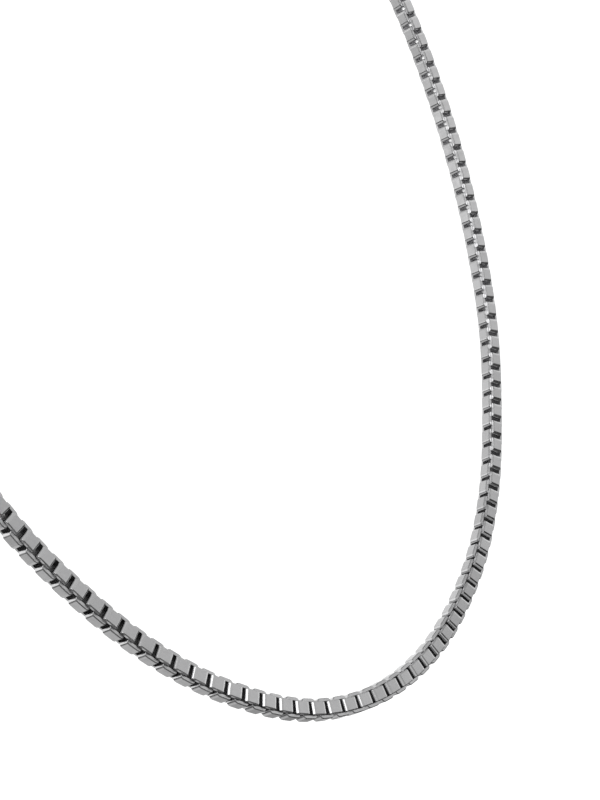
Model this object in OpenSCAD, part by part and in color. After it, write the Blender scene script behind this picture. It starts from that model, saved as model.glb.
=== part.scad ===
// Box chain necklace, in the form in which it is worn round a neck.
// The origin is the middle of the neck, level with the chain at the nape. +Z is up and -Y is the front.

/* [Loop] */
// Width of the worn loop from side to side, between the chain's middle lines
loop_w = 118.5; // [107:0.5:140]
// Depth of the loop from its front to the nape
loop_depth = 128.5; // [115:0.5:150]
// Drop of the loop's front below the nape
loop_drop = 138; // [120:1:165]

/* [Chain] */
// Width of the chain across its plates
chain_w = 3; // [2:0.1:4]
// Width of the flat strip that each link is bent from, which leaves the chain's four corners open
strip_w = 1.9; // [1.2:0.1:1.95]

/* [End rings] */
// Outer diameter of an end ring
ring_d = 4.6; // [4.2:0.1:6]
// Diameter of its wire
ring_wire = 0.6; // [0.4:0.05:0.8]

/* [Clasp] */
// Length of the clasp from end to end
clasp_len = 11; // [10:0.5:16]
// Thickness of the clasp, away from the neck
clasp_t = 2; // [1:0.1:2.2]
// Height of the claw end
claw_d = 5.6; // [4.6:0.1:7]
// Metal round the claw's hole
claw_wall = 1.3; // [0.8:0.1:1.4]
// Height of the eye end
eye_d = 3.6; // [3.4:0.1:4.4]
// Metal round the eye's hole
eye_wall = 0.7; // [0.5:0.1:0.9]

/* [Fit] */
// Room between an end ring and the end of a chain half
chain_gap = 0.2; // [0.1:0.05:0.5]
// Room between the two chain halves where they meet
middle_gap = 0.1; // [0.05:0.05:0.3]
// Play of an end ring's wire inside the clasp
ring_play = 0.6; // [0.3:0.1:0.8]

/* [Hidden] */
$fn = 48;

// Right half of the route of the chain's middle line, as [across, back, up], from the front centre to the
// nape, for a loop of the size that follows it. It slopes over the chest and levels out behind the neck.
HALF_ROUTE = [
    [0, -64, -138], [14, -62.5, -136], [27, -58.5, -129.5], [37.5, -52.5, -121], [46, -45, -110.5],
    [52, -38, -100], [56, -30.5, -88.5], [58.5, -22.5, -76], [59.25, -14.5, -63.5], [58.5, -7.5, -52.5],
    [56.5, -0.5, -42], [53, 6.5, -31], [47.5, 17.5, -19], [42.5, 29.5, -11], [36, 41.5, -5.5],
    [27.5, 52.5, -2], [15.5, 61, -0.5], [0, 64.5, 0]
];
ROUTE_SIZE = [118.5, 128.5, 138];
// Steps between two points of the route
ROUTE_STEPS = 12;
// Elevation of the chain's upper plates in degrees, at shares of the half's length from the front
LEAN = [[0, 42], [0.25, 42], [0.55, 20], [0.9, 68]];
// Sides of the tube that stands for a chain half, and the distance of its sections in chain widths
SIDES = 8;
SECTION_STEP = 1;
// Height of the clasp's body at its ends, as a share of the eye's and the claw's
BODY_SHARE = 0.9;

ring_mid = (ring_d - ring_wire) / 2;
// Distances along the route from the nape: the end ring's middle, whose wire passes through the claw or the
// eye, and the end of the chain half
ring_x = clasp_len / 2 - max(claw_wall, eye_wall) - ring_play - ring_wire / 2 + ring_mid;
chain_x = ring_x + ring_d / 2 + chain_gap;

function across(p) = [-p[0], p[1], p[2]];
function unit(v) = v / norm(v);

// The half in the loop's own size, and the same with one mirrored point added at each end
sized = [
    for (p = HALF_ROUTE)
        [p[0] * loop_w / ROUTE_SIZE[0], p[1] * loop_depth / ROUTE_SIZE[1], p[2] * loop_drop / ROUTE_SIZE[2]]
];
last = len(sized) - 1;
route = concat([across(sized[1])], sized, [across(sized[last - 1])]);

// Point on the smooth curve that passes through b and c, at the share t between them
function between(a, b, c, d, t) =
    0.5 * (2 * b + (c - a) * t + (2 * a - 5 * b + 4 * c - d) * t * t + (3 * b - a - 3 * c + d) * t * t * t);

samples = [
    for (i = [0:last - 1], k = [0:ROUTE_STEPS - 1])
        between(route[i], route[i + 1], route[i + 2], route[i + 3], k / ROUTE_STEPS),
    sized[last]
];
// Length along the route up to each sample
lengths = [
    for (i = 0, s = 0; i < len(samples);
         s = s + (i + 1 < len(samples) ? norm(samples[i + 1] - samples[i]) : 0), i = i + 1) s
];
half_len = lengths[len(lengths) - 1];
table = [for (axis = [0:2]) [for (i = [0:len(samples) - 1]) [lengths[i], samples[i][axis]]]];

// Place on the route at the length s from the front centre, mirrored past either end of the half
function at(s) = s < 0 ? across(at(-s)) : s > half_len ? across(at(2 * half_len - s))
    : [lookup(s, table[0]), lookup(s, table[1]), lookup(s, table[2])];
// Direction of the route there
function along(s) = unit(at(s + 1) - at(s - 1));
// Normal of the upper plates, square to the route
function upper(s) =
    let (a = lookup(s / half_len, LEAN), u = [0, -cos(a), sin(a)], t = along(s)) unit(u - (u * t) * t);
// Normal of the inner plates
function inner(s) = cross(upper(s), along(s));

// The outline round the upper and the inner plates
function section(s) = let (w = chain_w / 2, b = strip_w / 2)
    [for (c = [[w, b], [b, w], [-b, w], [-w, b], [-w, -b], [-b, -w], [b, -w], [w, -b]])
        at(s) + c[0] * upper(s) + c[1] * inner(s)];

module half_chain() {
    from = middle_gap / 2;
    to = half_len - chain_x;
    count = ceil((to - from) / (SECTION_STEP * chain_w));
    points = [for (i = [0:count]) each section(from + (to - from) * i / count)];
    color([0.7, 0.7, 0.71])
        polyhedron(
            points,
            concat(
                [[for (k = [0:SIDES - 1]) k]],
                [for (i = [0:count - 1], k = [0:SIDES - 1])
                    let (a = i * SIDES + k, b = i * SIDES + (k + 1) % SIDES) each [
                        [a, a + SIDES, b + SIDES],
                        [a, b + SIDES, b]
                    ]],
                [[for (k = [SIDES - 1:-1:0]) count * SIDES + k]]
            )
        );
}

// Turns a piece as the chain lies at the length s, with its X along the chain and its Z out of the upper
// plates, and puts it at a place
module on_route(s, place) {
    x = along(s);
    y = inner(s);
    z = upper(s);
    multmatrix([for (i = [0:2]) [x[i], y[i], z[i], place[i]]]) children();
}

module chain_right() half_chain();
module chain_left() mirror([1, 0, 0]) half_chain();

module end_ring() {
    s = half_len - ring_x;
    color([0.72, 0.72, 0.73])
        on_route(s, at(s)) rotate_extrude() translate([ring_mid, 0]) circle(d = ring_wire);
}

module end_ring_right() end_ring();
module end_ring_left() mirror([1, 0, 0]) end_ring();

// A round claw, a round eye and a tapering body between their middles, flat in the XY plane
module clasp_shape() {
    claw_x = (clasp_len - claw_d) / 2;
    eye_x = (eye_d - clasp_len) / 2;
    difference() {
        union() {
            translate([claw_x, 0, 0]) cylinder(h = clasp_t, d = claw_d, center = true);
            translate([eye_x, 0, 0]) cylinder(h = clasp_t, d = eye_d, center = true);
            linear_extrude(height = clasp_t, center = true)
                polygon([
                    for (end = [[eye_x, eye_d], [claw_x, claw_d], [claw_x, -claw_d], [eye_x, -eye_d]])
                        [end[0], end[1] / 2 * BODY_SHARE]
                ]);
        }
        translate([claw_x, 0, 0]) cylinder(h = 2 * clasp_t, d = claw_d - 2 * claw_wall, center = true);
        translate([eye_x, 0, 0]) cylinder(h = 2 * clasp_t, d = eye_d - 2 * eye_wall, center = true);
    }
}

module clasp() {
    ring_place = at(half_len - ring_x);
    color([0.72, 0.72, 0.73])
        on_route(half_len, [0, ring_place[1], ring_place[2]]) rotate([90, 0, 0]) clasp_shape();
}

chain_right();
chain_left();
end_ring_right();
end_ring_left();
clasp();
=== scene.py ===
"""Box chain necklace in the form in which it is worn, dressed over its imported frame. Lengths are in metres.

The origin is the middle of the neck, level with the chain at the nape. +Z is up and -Y is the front.
"""

import math

import bmesh
import bpy
import numpy as np
from bpy.props import FloatProperty, FloatVectorProperty, PointerProperty
from mathutils import Euler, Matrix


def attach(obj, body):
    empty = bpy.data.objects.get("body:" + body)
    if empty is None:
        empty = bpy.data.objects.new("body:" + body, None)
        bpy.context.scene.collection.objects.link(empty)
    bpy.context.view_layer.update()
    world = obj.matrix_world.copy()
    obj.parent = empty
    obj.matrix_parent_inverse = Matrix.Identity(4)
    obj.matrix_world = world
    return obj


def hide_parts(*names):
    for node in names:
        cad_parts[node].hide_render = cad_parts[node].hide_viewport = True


bl_info = {
    "name": "Box Chain Necklace",
    "version": (1, 0, 0),
    "blender": (4, 5, 0),
    "location": "3D View > Sidebar > Necklace",
    "description": "Builds the interlocking box links, the end rings, the clasp and a studio",
    "category": "Add Mesh",
}

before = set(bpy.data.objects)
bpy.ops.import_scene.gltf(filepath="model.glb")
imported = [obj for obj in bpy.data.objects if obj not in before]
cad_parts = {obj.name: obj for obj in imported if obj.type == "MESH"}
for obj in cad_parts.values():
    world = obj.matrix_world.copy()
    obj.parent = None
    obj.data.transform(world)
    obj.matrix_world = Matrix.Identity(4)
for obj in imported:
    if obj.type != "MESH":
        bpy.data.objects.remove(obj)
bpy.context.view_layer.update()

MM = 0.001

# Right half of the route of the chain's middle line, from the front centre to the nape
HALF_ROUTE = MM * np.array([
    [0, -64, -138], [14, -62.5, -136], [27, -58.5, -129.5], [37.5, -52.5, -121], [46, -45, -110.5],
    [52, -38, -100], [56, -30.5, -88.5], [58.5, -22.5, -76], [59.25, -14.5, -63.5], [58.5, -7.5, -52.5],
    [56.5, -0.5, -42], [53, 6.5, -31], [47.5, 17.5, -19], [42.5, 29.5, -11], [36, 41.5, -5.5],
    [27.5, 52.5, -2], [15.5, 61, -0.5], [0, 64.5, 0],
])
# Steps between two points of the route
ROUTE_STEPS = 12
# Elevation of the upper plates in degrees, at shares of the half's length from the front
LEAN_SHARES = (0, 0.25, 0.55, 0.9)
LEAN = (42, 42, 20, 68)

# How far loose links have slid towards the right half, at lengths along the route from the front centre
PLAY_PLACES = MM * np.array([-30, -12, 15, 32, 44, 62])
PLAY = MM * np.array([0.45, 0.58, 0.24, -0.42, -0.52, -0.25])
# Share of a half's length from which on the play fades
FADE_FROM = 0.6
# How far a loose link may be rolled and tilted, in degrees
LOOSE_ROLL = 0.7
LOOSE_TILT = 0.3

# Points along each bend of a link, and round the section of its strip
BEND_POINTS = 4
SECTION_POINTS = 6
# What a face of a link is: the first four go from the polished plates to the dull insides, which also carry
# painted shade
PLATE, WORN_EDGE, SIDE, INSIDE, END_WALL = range(5)
# End walls face their neighbours through a narrow slot. They are as dull as the insides and carry the same
# painted shade on the flat links, and partly so, between sides and insides, on the turned links
WALL_SIDES = (INSIDE, 2.2)
# The pattern of a link's strip starts at a random place on a line of this many millimetres
STRIP_LINE = 900
# Ends of the span that holds most of a noise's values
NOISE_SPAN = (0.3, 0.7)
# Height of the scratches in the steel
SCRATCH_HEIGHT = 0.004 * MM

# Points nearer than this to each other are merged
MERGE_DISTANCE = 1e-7
# Faces of the clasp's solid are one where they meet within the first angle, and edges over the second are
# rounded
FLAT_ANGLE = math.radians(1)
ROUNDED_ANGLE = math.radians(40)

# Place of the camera, and its tilt, roll and heading in degrees
CAMERA_PLACE = (-0.15914, -0.18463, -0.00729)
CAMERA_TURN = (66.731, -4.267, -46.485)
# Name, place, target, width and power in watts of each softbox
SOFTBOXES = (
    ("softbox_above", (-0.2, 0.3, 1.6), (0, -0.02, -0.07), 1.2, 0.3),
    ("softbox_front", (-0.409, -0.169, 0.433), (-0.016, -0.063, -0.136), 0.56, 2.4),
    ("softbox_low", (-0.094, -0.408, -0.262), (0.034, -0.055, -0.125), 0.26, 0.09),
)
# Radius of the floor
FLOOR_RADIUS = 30
# Painted light, a glow of the floor that only the steel shows: the heading in degrees in which it grows, the
# distances between which it does, and its strength there
GLOW_HEADING = 30
GLOW_ENDS = (0.04, 0.22)
GLOW_LEVELS = (0, 1.1)
# Middle of a round pool of painted light on the floor, two distances from it, and its strength there
POOL_MIDDLE = (-0.12, 0.04)
POOL_ENDS = (0.03, 0.36)
POOL_LEVELS = (0.62, 0)
# Middle of a round place of painted shade on the floor, two distances from it, and the share of the glow that
# is left there
DARK_MIDDLE = (0.58, -0.24)
DARK_ENDS = (0.25, 0.38)
DARK_LEVELS = (0, 1)


def unit(v):
    """Each row of v divided by its length."""
    return v / np.linalg.norm(v, axis=-1, keepdims=True)


def ease(x):
    """Smooth step: u squared times (3 - 2u), with u held between 0 and 1."""
    u = np.clip(x, 0, 1)
    return u * u * (3 - 2 * u)


class Route:
    """The chain's middle line, a Catmull-Rom curve through the route's points and their mirror image."""

    def __init__(self):
        """Samples each span at equal steps t of 0.5 (2b + (c-a)t + (2a-5b+4c-d)t^2 + (3b-a-3c+d)t^3)."""
        flip = np.array([-1, 1, 1])
        p = np.concatenate([[HALF_ROUTE[1] * flip], HALF_ROUTE, [HALF_ROUTE[-2] * flip]])
        a, b, c, d = (p[i:len(p) - 3 + i, None, :] for i in range(4))
        t = (np.arange(ROUTE_STEPS) / ROUTE_STEPS)[None, :, None]
        cubic = (2 * b + (c - a) * t + (2 * a - 5 * b + 4 * c - d) * t ** 2
                 + (3 * b - a - 3 * c + d) * t ** 3)
        self.points = np.concatenate([(0.5 * cubic).reshape(-1, 3), HALF_ROUTE[-1:]])
        steps = np.linalg.norm(np.diff(self.points, axis=0), axis=1)
        self.lengths = np.concatenate([[0], np.cumsum(steps)])
        self.half = self.lengths[-1]

    def at(self, s):
        """Places at the lengths s from the front centre. Negative lengths lie on the mirrored half."""
        s = np.asarray(s, float)
        far = np.abs(s)
        past = far > self.half
        near = np.where(past, 2 * self.half - far, far)
        out = np.stack([np.interp(near, self.lengths, self.points[:, k]) for k in range(3)], -1)
        out[..., 0] *= np.where(s < 0, -1, 1) * np.where(past, -1, 1)
        return out

    def axes(self, s):
        """Unit vectors along the chain, across its inner plates and up from its upper plates.

        The upper one is (0, -cos lean, sin lean) made square to the chain, the inner one is upper x along.
        """
        s = np.asarray(s, float)
        along = unit(self.at(s + MM) - self.at(s - MM))
        lean = np.radians(np.interp(np.abs(s) / self.half, LEAN_SHARES, LEAN))
        up = np.stack([np.zeros_like(lean), -np.cos(lean), np.sin(lean)], -1)
        upper = unit(up - (up * along).sum(-1, keepdims=True) * along)
        return along, np.cross(upper, along), upper


ROUTE = Route()


class ChainSizes(bpy.types.PropertyGroup):
    """Sizes and colours of the box links."""

    width: FloatProperty(
        name="Chain width", description="Width of a link from plate to plate",
        default=2.97 * MM, min=2 * MM, max=4 * MM, unit="LENGTH")
    link_length: FloatProperty(
        name="Link length", description="Length of a link along the chain",
        default=2.58 * MM, min=2.4 * MM, max=2.9 * MM, unit="LENGTH")
    strip_width: FloatProperty(
        name="Strip width", description="Width of the flat strip that a link is bent from",
        default=1.9 * MM, min=1.2 * MM, max=1.95 * MM, unit="LENGTH")
    strip_thickness: FloatProperty(
        name="Strip thickness", description="Thickness of the flat strip",
        default=0.49 * MM, min=0.3 * MM, max=0.5 * MM, unit="LENGTH")
    bend: FloatProperty(
        name="Bend", description="Outer radius of a link's four bends",
        default=0.56 * MM, min=0.53 * MM, max=0.9 * MM, unit="LENGTH")
    edge: FloatProperty(
        name="Edge", description="Width of the worn edge along both sides of the strip",
        default=0.13 * MM, min=0.05 * MM, max=0.2 * MM, unit="LENGTH")
    pitch: FloatProperty(
        name="Pitch", description="Distance from one link to the next",
        default=1.52 * MM, min=1.2 * MM, max=2 * MM, unit="LENGTH")
    first: FloatProperty(
        name="First link", description="Distance of the right half's first link from the front centre",
        default=0.56 * MM, min=0.1 * MM, max=1.4 * MM, unit="LENGTH")
    clearance: FloatProperty(
        name="End clearance", description="Distance from an end ring's middle to the last link's end",
        default=0.87 * MM, min=0.8 * MM, max=1 * MM, unit="LENGTH")
    colour: FloatVectorProperty(
        name="Steel", description="Colour of the satin plates",
        default=(0.60, 0.60, 0.605), min=0, max=1, subtype="COLOR", size=3)
    # Painted shade: the inner faces are darkened to stand for the shade inside the links, most at the lowest
    # links
    painted_inside_shade: FloatVectorProperty(
        name="Inside of the links", description="Colour of the unpolished inner faces at the lowest links",
        default=(0.13, 0.13, 0.133), min=0, max=1, subtype="COLOR", size=3)
    # Painted light: lightens the painted shade on the inner faces higher up and to the right, where more
    # light gets in
    painted_inside_light: FloatProperty(
        name="Cleaner insides", description="How much brighter the inner faces are up the right half",
        default=4.2, min=1, max=6)


class FittingSizes(bpy.types.PropertyGroup):
    """Sizes and colours of the end rings and the clasp."""

    ring_width: FloatProperty(
        name="End ring", description="Outer diameter of an end ring",
        default=4.6 * MM, min=4.2 * MM, max=6 * MM, unit="LENGTH")
    ring_wire: FloatProperty(
        name="Ring wire", description="Diameter of the end ring's wire",
        default=0.6 * MM, min=0.4 * MM, max=0.8 * MM, unit="LENGTH")
    ring_place: FloatProperty(
        name="Ring place", description="Distance of an end ring's middle from the nape",
        default=5.3 * MM, min=5 * MM, max=8 * MM, unit="LENGTH")
    clasp_edge: FloatProperty(
        name="Clasp edge", description="Rounding of the clasp's edges",
        default=0.32 * MM, min=0.05 * MM, max=0.4 * MM, unit="LENGTH")
    colour: FloatVectorProperty(
        name="Fitting steel", description="Colour of the rings and the clasp",
        default=(0.64, 0.64, 0.65), min=0, max=1, subtype="COLOR", size=3)


class StudioSizes(bpy.types.PropertyGroup):
    """Floor, lights and camera."""

    floor_height: FloatProperty(
        name="Floor height", description="Height of the floor, under the nape",
        default=-0.42, min=-2, max=-0.15, unit="LENGTH")
    floor_colour: FloatVectorProperty(
        name="Floor", description="Colour of the floor in the steel's reflections, out of the light",
        default=(0.1, 0.1, 0.1), min=0, max=1, subtype="COLOR", size=3)
    paleness: FloatProperty(
        name="Paleness", description="Brightness of the plain floor and background seen directly",
        default=1.06, min=0.5, max=1.2)
    sky: FloatProperty(
        name="Room light", description="Strength of the light from overhead",
        default=0.65, min=0, max=5)
    sky_bright: FloatProperty(
        name="Horizon light", description="Strength of the light from near the horizon",
        default=0.80, min=0, max=5)
    shade: FloatProperty(
        name="Shade", description="Share of the light that is left on the dark side of the room",
        default=0.05, min=0, max=1)
    lens: FloatProperty(
        name="Lens", description="Focal length on a 36 mm long side",
        default=71.56, min=20, max=200, unit="CAMERA")


def new_mesh(name, points, quads):
    """A smooth mesh object at the origin from arrays of points and of faces with four corners."""
    mesh = bpy.data.meshes.new(name)
    mesh.vertices.add(len(points))
    mesh.vertices.foreach_set("co", np.ascontiguousarray(points, np.float32).ravel())
    mesh.loops.add(4 * len(quads))
    mesh.loops.foreach_set("vertex_index", np.ascontiguousarray(quads, np.int32).ravel())
    mesh.polygons.add(len(quads))
    mesh.polygons.foreach_set("loop_start", np.arange(0, 4 * len(quads), 4, dtype=np.int32))
    mesh.update(calc_edges=True)
    mesh.validate()
    mesh.polygons.foreach_set("use_smooth", np.full(len(mesh.polygons), True))
    piece = bpy.data.objects.new(name, mesh)
    bpy.context.scene.collection.objects.link(piece)
    return piece


def wrap(rows, columns):
    """Faces of a grid of rows x columns points that closes on itself both ways."""
    i, j = np.meshgrid(np.arange(rows), np.arange(columns), indexing="ij")
    i2, j2 = (i + 1) % rows, (j + 1) % columns
    quads = np.stack([i * columns + j, i * columns + j2, i2 * columns + j2, i2 * columns + j], -1)
    return quads.reshape(-1, 4)


def link_shape(sizes):
    """One box link: the section of a flat strip carried round a square with round corners and full sides.

    The outer line is a rectangle, as long and as wide as the link, with four bends of one radius. Each bend
    is drawn by points at equal angles, middle of the bend + radius x (cos angle, sin angle). A point of the
    section lies deeper by d, at (radius - d) x (cos angle, sin angle), and at y across the strip. The
    points of the section bound its outer plate, one worn edge on each side, two sides and the inner plate.
    Returns points as [along, across the strip, out from the middle], faces, the normal at each corner of
    each face, what each face is, whether it is on a bend, and the length round the strip at each row.
    """
    length, width, bend = sizes.link_length, sizes.width, sizes.bend
    half, deep, edge = sizes.strip_width / 2, sizes.strip_thickness, sizes.edge
    turn = np.linspace(0, math.pi / 2, BEND_POINTS)
    angle = (np.arange(4)[:, None] * math.pi / 2 + turn).ravel()
    sign = np.repeat([[1, 1], [-1, 1], [-1, -1], [1, -1]], BEND_POINTS, axis=0)
    middle = sign * [length / 2 - bend, width / 2 - bend]
    normal = np.stack([np.cos(angle), np.sin(angle)], -1)
    depth = np.array([0, 0, edge, deep, deep, edge])
    across = np.array([-half + edge, half - edge, half, half, -half, -half])
    flat = middle[:, None, :] + (bend - depth)[None, :, None] * normal[:, None, :]
    y = np.broadcast_to(across, flat.shape[:2])
    points = np.stack([flat[..., 0], y, flat[..., 1]], -1).reshape(-1, 3)
    rows = len(angle)
    faces = wrap(rows, SECTION_POINTS)

    # From a bend's last point to the next bend the strip is straight: along the link after the first and
    # the third bend, and across it, as an end wall, after the second and the fourth
    side = np.tile([PLATE, WORN_EDGE, SIDE, INSIDE, SIDE, WORN_EDGE], rows)
    row = np.arange(rows).repeat(SECTION_POINTS)
    bent = row % BEND_POINTS != BEND_POINTS - 1
    ends = np.isin(row, [2 * BEND_POINTS - 1, 4 * BEND_POINTS - 1])
    side[(side == PLATE) & ends] = END_WALL

    # How far the normal at each corner of a face points out from the strip and across it: a worn edge
    # turns from the plate's normal to the side's
    points_out = np.tile(
        [[1] * 4, [1, 0, 0, 1], [0] * 4, [-1] * 4, [0] * 4, [0, 1, 1, 0]], (rows, 1))
    points_across = np.tile(
        [[0] * 4, [0, 1, 1, 0], [1] * 4, [0] * 4, [-1] * 4, [-1, 0, 0, -1]], (rows, 1))
    corner = normal[faces // SECTION_POINTS]
    normals = np.stack([points_out * corner[..., 0], points_across, points_out * corner[..., 1]], -1)
    outer = middle + bend * normal
    steps = np.linalg.norm(np.roll(outer, -1, axis=0) - outer, axis=1)
    return points, faces, normals, side, bent, np.concatenate([[0], np.cumsum(steps)])


def link_places(sizes, fittings, right):
    """Lengths along the route of the middles of one half's links, and which of them lie flat.

    They follow each other at the pitch from the front centre, apart from the play of loose links. Towards
    the nape the play fades and the pitch shrinks a little, so that the last link is a flat one whose end
    reaches the end ring.
    """
    end = ROUTE.half - fittings.ring_place - sizes.clearance - sizes.link_length / 2
    start = sizes.first if right else sizes.first - sizes.pitch
    sign = 1 if right else -1
    count = int(math.ceil((end - sign * start) / sizes.pitch))
    flat_first = 0 if right else 1
    if (count + flat_first) % 2:
        count += 1
    k = np.arange(count + 1)
    s = sign * start + sizes.pitch * k
    slack = s[-1] - end
    late = ease((s / s[-1] - FADE_FROM) / (1 - FADE_FROM))
    play = np.interp(sign * s, PLAY_PLACES, PLAY)
    return sign * (s - slack * late) + play * (1 - late), (k + flat_first) % 2 == 0


def set_faces(mesh, name, values):
    """Puts a number on each face, for the material to read by its name."""
    layer = mesh.attributes.new(name, "FLOAT", "FACE")
    layer.data.foreach_set("value", values.ravel().astype(np.float32))


def chain_half(name, right, seed, sizes, fittings):
    """All links of one half in one mesh, each turned by the route's axes and put at its place.

    A flat link has its plates above and below, and the next one is turned by a quarter. Each is also rolled
    and tilted by a part of a degree, as loose links are.
    """
    points, quads, normals, side, bent, run = link_shape(sizes)
    s, lies_flat = link_places(sizes, fittings, right)
    along, inner, upper = ROUTE.axes(s)
    rng = np.random.default_rng(seed)
    roll = np.radians(rng.uniform(-LOOSE_ROLL, LOOSE_ROLL, len(s)))[:, None]
    tilt = np.radians(rng.uniform(-LOOSE_TILT, LOOSE_TILT, len(s)))[:, None]
    across = np.where(lies_flat[:, None], inner, upper)
    out = np.where(lies_flat[:, None], upper, -inner)
    across, out = across * np.cos(roll) + out * np.sin(roll), out * np.cos(roll) - across * np.sin(roll)
    along, out = along * np.cos(tilt) + out * np.sin(tilt), out * np.cos(tilt) - along * np.sin(tilt)
    axes = np.stack([along, across, out], 1)
    placed = np.einsum("pk,nkc->npc", points, axes) + ROUTE.at(s)[:, None, :]
    count = len(s)
    faces = (quads[None] + (np.arange(count) * len(points))[:, None, None]).reshape(-1, 4)
    piece = new_mesh(name, placed.reshape(-1, 3), faces)
    mesh = piece.data

    set_faces(mesh, "link_tone", np.repeat(rng.uniform(-1, 1, count), len(quads)))
    wall = np.where(lies_flat, *WALL_SIDES)[:, None]
    set_faces(mesh, "link_side", np.where(side == END_WALL, wall, side))
    set_faces(mesh, "link_bend", np.tile(bent, count))

    # The strip unrolled in millimetres, from another place on its line for each link
    row = np.arange(len(points) // SECTION_POINTS).repeat(SECTION_POINTS)
    u = np.stack([run[row], run[row], run[row + 1], run[row + 1]], -1) / MM
    v = points[:, 1][quads] / MM
    u = u[None] + rng.uniform(0, STRIP_LINE, count)[:, None, None]
    v = np.broadcast_to(v[None], u.shape)
    layer = mesh.uv_layers.new(name="strip")
    layer.data.foreach_set("uv", np.stack([u, v], -1).astype(np.float32).ravel())

    # Flat plates, round bends, and sharp edges between the sides and the inside
    turned = np.einsum("fck,nkx->nfcx", normals, axes)
    mesh.normals_split_custom_set(turned.reshape(-1, 3))
    return piece


def node(tree, kind, **values):
    """A new node with its settings and, by their numbers, the values of its inputs."""
    made = tree.nodes.new(kind)
    for key, value in values.items():
        if key.startswith("in_"):
            made.inputs[int(key[3:])].default_value = value
        else:
            setattr(made, key, value)
    return made


def combine(tree, operation, first, second):
    """The sum, the product or the greater of two values."""
    made = node(tree, "ShaderNodeMath", operation=operation)
    tree.links.new(first, made.inputs[0])
    tree.links.new(second, made.inputs[1])
    return made.outputs[0]


def map_range(tree, value, ends, levels, step="LINEAR"):
    """Brings a value from two ends to two levels, in a straight line or a smooth step."""
    made = node(tree, "ShaderNodeMapRange", interpolation_type=step, in_1=ends[0], in_2=ends[1],
                in_3=levels[0], in_4=levels[1])
    tree.links.new(value, made.inputs[0])
    return made.outputs[0]


def measure(tree, operation, place, other):
    """The dot product of a place with a direction, or its distance from another place."""
    made = node(tree, "ShaderNodeVectorMath", operation=operation, in_1=other)
    tree.links.new(place, made.inputs[0])
    return made.outputs["Value"]


def brighten(tree, colour, share):
    """A colour times a share."""
    made = node(tree, "ShaderNodeVectorMath", operation="SCALE")
    tree.links.new(colour, made.inputs[0])
    tree.links.new(share, made.inputs["Scale"])
    return made.outputs["Vector"]


def noise(tree, place, scale, detail):
    """Noise at a place."""
    made = node(tree, "ShaderNodeTexNoise")
    made.inputs["Scale"].default_value = scale
    made.inputs["Detail"].default_value = detail
    tree.links.new(place, made.inputs["Vector"])
    return made.outputs["Fac"]


def scratch(tree, shader, height, strength):
    """Scratches a shader's surface by a height between 0 and 1."""
    bump = node(tree, "ShaderNodeBump")
    bump.inputs["Strength"].default_value = strength
    bump.inputs["Distance"].default_value = SCRATCH_HEIGHT
    tree.links.new(height, bump.inputs["Height"])
    tree.links.new(bump.outputs["Normal"], shader.inputs["Normal"])


def steel_material(name, colour):
    """A Principled steel, with its tree, its shader and its coordinates."""
    material = bpy.data.materials.new(name)
    material.use_nodes = True
    tree = material.node_tree
    shader = tree.nodes["Principled BSDF"]
    shader.inputs["Base Color"].default_value = (*colour, 1)
    shader.inputs["Metallic"].default_value = 1
    return material, tree, shader, node(tree, "ShaderNodeTexCoord").outputs


def chain_steel(sizes):
    """Satin steel of the links: fine lines along the strip, dull worn edges and painted shade on the insides.
    """
    material, tree, shader, place = steel_material("chain_steel_satin", sizes.colour)
    side, tone, bend = (
        node(tree, "ShaderNodeAttribute", attribute_name=name).outputs["Fac"]
        for name in ("link_side", "link_tone", "link_bend"))
    strip = node(tree, "ShaderNodeMapping")
    strip.inputs["Scale"].default_value = (1.2, 16, 1)
    tree.links.new(place["UV"], strip.inputs["Vector"])
    lines = noise(tree, strip.outputs["Vector"], scale=1, detail=3)
    patches = noise(tree, place["Object"], scale=900, detail=2)

    # Colour: it varies a little from link to link and along the lines, worn edges are duller, and the insides
    # carry painted shade
    vary = map_range(tree, tone, ends=(-1, 1), levels=(0.93, 1.05))
    grain = map_range(tree, lines, ends=NOISE_SPAN, levels=(0.94, 1.04))
    ramp = node(tree, "ShaderNodeValToRGB")
    ramp.color_ramp.interpolation = "LINEAR"
    stops = ramp.color_ramp.elements
    stops[0].color = (*sizes.colour, 1)
    # Painted shade: the last stop darkens the inner faces and the end walls
    stops[1].color = (*sizes.painted_inside_shade, 1)
    for kind, share in ((WORN_EDGE, 0.62), (SIDE, 1.05)):
        stop = stops.new(kind / INSIDE)
        stop.color = (*[min(1, c * share) for c in sizes.colour], 1)
    tree.links.new(map_range(tree, side, ends=(PLATE, INSIDE), levels=(0, 1)), ramp.inputs["Fac"])
    colour = brighten(tree, ramp.outputs["Color"], combine(tree, "MULTIPLY", vary, grain))

    # Painted light: the insides' painted shade lightens the higher they lie and, half as much, the further to
    # the right
    inner = map_range(tree, side, ends=(SIDE, INSIDE), levels=(0, 1))
    climb = measure(tree, "DOT_PRODUCT", place["Object"], (0.5, 0, 1))
    lift = map_range(tree, climb, ends=(-0.125, -0.07), levels=(0, sizes.painted_inside_light - 1))
    share = node(tree, "ShaderNodeMath", operation="MULTIPLY_ADD", in_2=1)
    tree.links.new(inner, share.inputs[0])
    tree.links.new(lift, share.inputs[1])
    tree.links.new(brighten(tree, colour, share.outputs[0]), shader.inputs["Base Color"])

    # Roughness: satin plates with fine patches, bends that are rubbed smoother, and rough insides
    rough = map_range(tree, patches, ends=NOISE_SPAN, levels=(0.27, 0.40))
    inside = map_range(tree, side, ends=(SIDE, INSIDE), levels=(0, 0.25))
    rubbed = map_range(tree, bend, ends=(0, 1), levels=(0, -0.15))
    worn = combine(tree, "ADD", combine(tree, "ADD", rough, inside), rubbed)
    tree.links.new(worn, shader.inputs["Roughness"])
    scratch(tree, shader, lines, strength=0.25)
    return material


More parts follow.
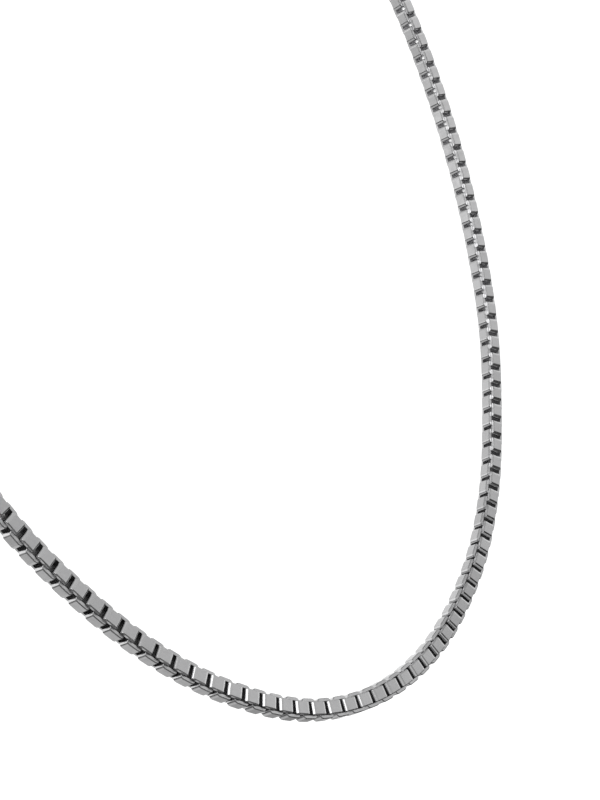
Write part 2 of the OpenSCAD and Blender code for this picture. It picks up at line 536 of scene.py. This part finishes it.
def fitting_steel(fittings):
    """Polished steel of the rings and the clasp, with fine scratches and slightly cloudy patches."""
    name = "fitting_steel_polished"
    if name in bpy.data.materials:
        return bpy.data.materials[name]
    material, tree, shader, place = steel_material(name, fittings.colour)
    cloud = noise(tree, place["Object"], scale=700, detail=3)
    rough = map_range(tree, cloud, ends=NOISE_SPAN, levels=(0.17, 0.32))
    tree.links.new(rough, shader.inputs["Roughness"])
    turn = node(tree, "ShaderNodeMapping")
    turn.inputs["Rotation"].default_value = (0.3, 0.2, 0.5)
    turn.inputs["Scale"].default_value = (900, 9000, 9000)
    tree.links.new(place["Object"], turn.inputs["Vector"])
    scratch(tree, shader, noise(tree, turn.outputs["Vector"], scale=1, detail=2), strength=0.2)
    return material


def dress(piece, material, node_name):
    """Gives a finished piece its material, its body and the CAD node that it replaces."""
    piece.data.materials.clear()
    piece.data.materials.append(material)
    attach(piece, "root")
    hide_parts(node_name)


class NECKLACE_OT_chain(bpy.types.Operator):
    """Add both halves of the chain, link by link"""

    bl_idname = "necklace.chain"
    bl_label = "Chain halves"

    def execute(self, context):
        """Builds the two halves, which follow each other at the front centre without a seam."""
        sizes = context.scene.necklace_chain
        fittings = context.scene.necklace_fittings
        steel = chain_steel(sizes)
        for side, right, seed in (("right", True, 11), ("left", False, 23)):
            piece = chain_half("box_links_" + side, right, seed, sizes, fittings)
            dress(piece, steel, "chain_" + side)
        return {"FINISHED"}


class NECKLACE_OT_rings(bpy.types.Operator):
    """Add the two end rings"""

    bl_idname = "necklace.rings"
    bl_label = "End rings"

    def execute(self, context):
        """Ring point: middle + (R + r cos v)(along cos u + inner sin u) + r sin v times upper."""
        fittings = context.scene.necklace_fittings
        wire = fittings.ring_wire / 2
        middle = fittings.ring_width / 2 - wire
        around, through = 72, 20
        u, v = np.meshgrid(np.linspace(0, 2 * math.pi, around, False),
                           np.linspace(0, 2 * math.pi, through, False), indexing="ij")
        for side, sign in (("right", 1), ("left", -1)):
            s = sign * (ROUTE.half - fittings.ring_place)
            along, inner, upper = ROUTE.axes(s)
            reach = (middle + wire * np.cos(v))[..., None]
            spread = np.cos(u)[..., None] * along + np.sin(u)[..., None] * inner
            points = ROUTE.at(s) + reach * spread + (wire * np.sin(v))[..., None] * upper
            piece = new_mesh("ring_" + side, points.reshape(-1, 3), wrap(around, through))
            outward(piece)
            dress(piece, fitting_steel(fittings), "end_ring_" + side)
        return {"FINISHED"}


def outward(piece):
    """Merges the points of a closed mesh and turns every face outwards."""
    work = bmesh.new()
    work.from_mesh(piece.data)
    bmesh.ops.remove_doubles(work, verts=work.verts, dist=MERGE_DISTANCE)
    bmesh.ops.recalc_face_normals(work, faces=work.faces)
    work.to_mesh(piece.data)
    work.free()


class NECKLACE_OT_clasp(bpy.types.Operator):
    """Add the clasp with rounded edges"""

    bl_idname = "necklace.clasp"
    bl_label = "Clasp"

    def execute(self, context):
        """Rounds the edges of a merged copy of the clasp's own solid."""
        fittings = context.scene.necklace_fittings
        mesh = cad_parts["clasp"].data.copy()
        piece = bpy.data.objects.new("clasp_body", mesh)
        context.scene.collection.objects.link(piece)
        outward(piece)
        work = bmesh.new()
        work.from_mesh(mesh)
        bmesh.ops.dissolve_limit(work, angle_limit=FLAT_ANGLE, verts=work.verts, edges=work.edges)
        work.to_mesh(mesh)
        work.free()
        mesh.polygons.foreach_set("use_smooth", np.full(len(mesh.polygons), True))
        rounding = piece.modifiers.new("rounding", "BEVEL")
        rounding.width = fittings.clasp_edge
        rounding.segments = 3
        rounding.limit_method = "ANGLE"
        rounding.angle_limit = ROUNDED_ANGLE
        rounding.harden_normals = True
        dress(piece, fitting_steel(fittings), "clasp")
        return {"FINISHED"}


def area_light(name, place, target, width, power):
    """Adds a square softbox at a place that faces a target."""
    lamp = bpy.data.lights.new(name, "AREA")
    lamp.shape = "SQUARE"
    lamp.size = width
    lamp.energy = power
    piece = bpy.data.objects.new(name, lamp)
    piece.location = place
    way = np.subtract(target, place)
    flat = math.hypot(way[0], way[1])
    piece.rotation_euler = Euler((math.atan2(flat, -way[2]), 0, math.atan2(-way[0], way[1])))
    bpy.context.scene.collection.objects.link(piece)


def seen_plain(tree, strength, paleness):
    """A light's strength, but at least the paleness for what is seen directly and not in the steel."""
    direct = node(tree, "ShaderNodeLightPath").outputs["Is Camera Ray"]
    return combine(tree, "MAXIMUM", strength, map_range(tree, direct, ends=(0, 1), levels=(0, paleness)))


def floor_paint(studio):
    """Pale floor, plain and white from every side. In the steel's reflections it glows unevenly, as painted
    light.

    That painted light is a smooth step of the distance from the middle along one heading, or that of a round
    pool under the left half where the pool is brighter. A round place at the right has painted shade.
    """
    paint = bpy.data.materials.new("pale_floor")
    paint.use_nodes = True
    tree = paint.node_tree
    shader = tree.nodes["Principled BSDF"]
    shader.inputs["Base Color"].default_value = (*studio.floor_colour, 1)
    shader.inputs["Roughness"].default_value = 0.9
    shader.inputs["Specular IOR Level"].default_value = 0.1
    shader.inputs["Emission Color"].default_value = (1, 1, 1, 1)
    place = node(tree, "ShaderNodeTexCoord").outputs["Object"]

    def disc(middle, ends, levels):
        """Level at each distance from a middle on the floor."""
        away = measure(tree, "DISTANCE", place, (*middle, studio.floor_height))
        return map_range(tree, away, ends, levels, "SMOOTHSTEP")

    heading = math.radians(GLOW_HEADING)
    reach = measure(tree, "DOT_PRODUCT", place, (math.sin(heading), math.cos(heading), 0))
    glow = map_range(tree, reach, GLOW_ENDS, GLOW_LEVELS, "SMOOTHSTEP")
    brighter = combine(tree, "MAXIMUM", glow, disc(POOL_MIDDLE, POOL_ENDS, POOL_LEVELS))
    level = combine(tree, "MULTIPLY", brighter, disc(DARK_MIDDLE, DARK_ENDS, DARK_LEVELS))
    tree.links.new(seen_plain(tree, level, studio.paleness), shader.inputs["Emission Strength"])
    return paint


def room_light(studio):
    """Light of the room: strong near the horizon, weaker overhead, strongest at the right, dark in front.

    Each part is a smooth step of the cosine between the direction and one fixed direction, and the parts
    are multiplied.
    """
    world = bpy.data.worlds.new("room")
    world.use_nodes = True
    tree = world.node_tree
    sky = tree.nodes["Background"]
    sky.inputs["Color"].default_value = (1, 1, 1, 1)
    place = node(tree, "ShaderNodeTexCoord").outputs["Generated"]
    parts = []
    # Heading and height of the fixed direction in degrees, two cosines, and the level at each
    for heading, height, ends, levels in (
            (0, 90, (0.2, 0.38), (studio.sky_bright, studio.sky)),
            (80, 30, (0.69, 0.83), (1, 1.4)),
            (168, 6, (0.84, 0.93), (1, studio.shade))):
        heading, height = math.radians(heading), math.radians(height)
        flat = math.cos(height)
        toward = (math.sin(heading) * flat, math.cos(heading) * flat, math.sin(height))
        cosine = measure(tree, "DOT_PRODUCT", place, toward)
        parts.append(map_range(tree, cosine, ends, levels, "SMOOTHSTEP"))
    product = parts[0]
    for part in parts[1:]:
        product = combine(tree, "MULTIPLY", product, part)
    tree.links.new(seen_plain(tree, product, studio.paleness), sky.inputs["Strength"])
    return world


def floor_disc(height):
    """Points and faces of a disc: (r cos a, r sin a, height), with r from 0 to its rim in growing steps."""
    rings, spokes = 12, 48
    r = FLOOR_RADIUS * (np.arange(1, rings + 1) / rings) ** 2
    a = np.linspace(0, 2 * math.pi, spokes, False)
    level = np.full((rings, spokes), height)
    rim = np.stack([np.outer(r, np.cos(a)), np.outer(r, np.sin(a)), level], -1).reshape(-1, 3)
    points = np.concatenate([rim, [[0, 0, height]]])
    i, j = np.meshgrid(np.arange(rings - 1), np.arange(spokes), indexing="ij")
    i2, j2 = i + 1, (j + 1) % spokes
    quads = np.stack([i * spokes + j, i2 * spokes + j, i2 * spokes + j2, i * spokes + j2], -1)
    k = np.arange(spokes)
    fan = np.stack([np.full(spokes, rings * spokes), k, (k + 1) % spokes], -1)
    return points.tolist(), quads.reshape(-1, 4).tolist() + fan.tolist()


class NECKLACE_OT_studio(bpy.types.Operator):
    """Add the floor, the lights and the camera"""

    bl_idname = "necklace.studio"
    bl_label = "Studio"

    def execute(self, context):
        """Builds the floor, the light of the room, the softboxes and the camera of the render."""
        scene = context.scene
        studio = scene.necklace_studio
        points, faces = floor_disc(studio.floor_height)
        mesh = bpy.data.meshes.new("floor")
        mesh.from_pydata(points, [], faces)
        floor = bpy.data.objects.new("floor", mesh)
        scene.collection.objects.link(floor)
        mesh.materials.append(floor_paint(studio))
        scene.world = room_light(studio)
        scene.view_settings.view_transform = "Standard"
        scene.view_settings.look = "None"
        for softbox in SOFTBOXES:
            area_light(*softbox)

        lens = bpy.data.cameras.new("camera")
        lens.lens = studio.lens
        lens.sensor_width = 36
        lens.clip_start = 0.01
        lens.clip_end = 100
        camera = bpy.data.objects.new("camera", lens)
        camera.location = CAMERA_PLACE
        camera.rotation_euler = Euler([math.radians(x) for x in CAMERA_TURN])
        scene.collection.objects.link(camera)
        scene.camera = camera
        return {"FINISHED"}


class NECKLACE_PT_panel(bpy.types.Panel):
    """Sizes of the necklace and the buttons that build its pieces"""

    bl_idname = "NECKLACE_PT_panel"
    bl_label = "Box Chain Necklace"
    bl_space_type = "VIEW_3D"
    bl_region_type = "UI"
    bl_category = "Necklace"

    def draw(self, context):
        """Lists each group of sizes over the buttons that use it."""
        scene = context.scene
        groups = (
            (scene.necklace_chain, (NECKLACE_OT_chain,)),
            (scene.necklace_fittings, (NECKLACE_OT_rings, NECKLACE_OT_clasp)),
            (scene.necklace_studio, (NECKLACE_OT_studio,)),
        )
        for group, buttons in groups:
            box = self.layout.box()
            for key in group.__annotations__:
                box.prop(group, key)
            for button in buttons:
                box.operator(button.bl_idname)


CLASSES = (
    ChainSizes, FittingSizes, StudioSizes, NECKLACE_OT_chain, NECKLACE_OT_rings, NECKLACE_OT_clasp,
    NECKLACE_OT_studio, NECKLACE_PT_panel,
)


def register():
    """Registers the classes and puts their sizes on the scene."""
    for cls in CLASSES:
        bpy.utils.register_class(cls)
    bpy.types.Scene.necklace_chain = PointerProperty(type=ChainSizes)
    bpy.types.Scene.necklace_fittings = PointerProperty(type=FittingSizes)
    bpy.types.Scene.necklace_studio = PointerProperty(type=StudioSizes)


def unregister():
    """Takes away what register added."""
    del bpy.types.Scene.necklace_studio
    del bpy.types.Scene.necklace_fittings
    del bpy.types.Scene.necklace_chain
    for cls in reversed(CLASSES):
        bpy.utils.unregister_class(cls)


def main():
    """Builds everything in order."""
    register()
    bpy.ops.necklace.studio()
    bpy.ops.necklace.chain()
    bpy.ops.necklace.rings()
    bpy.ops.necklace.clasp()
    bpy.context.view_layer.update()


if __name__ == "__main__":
    main()
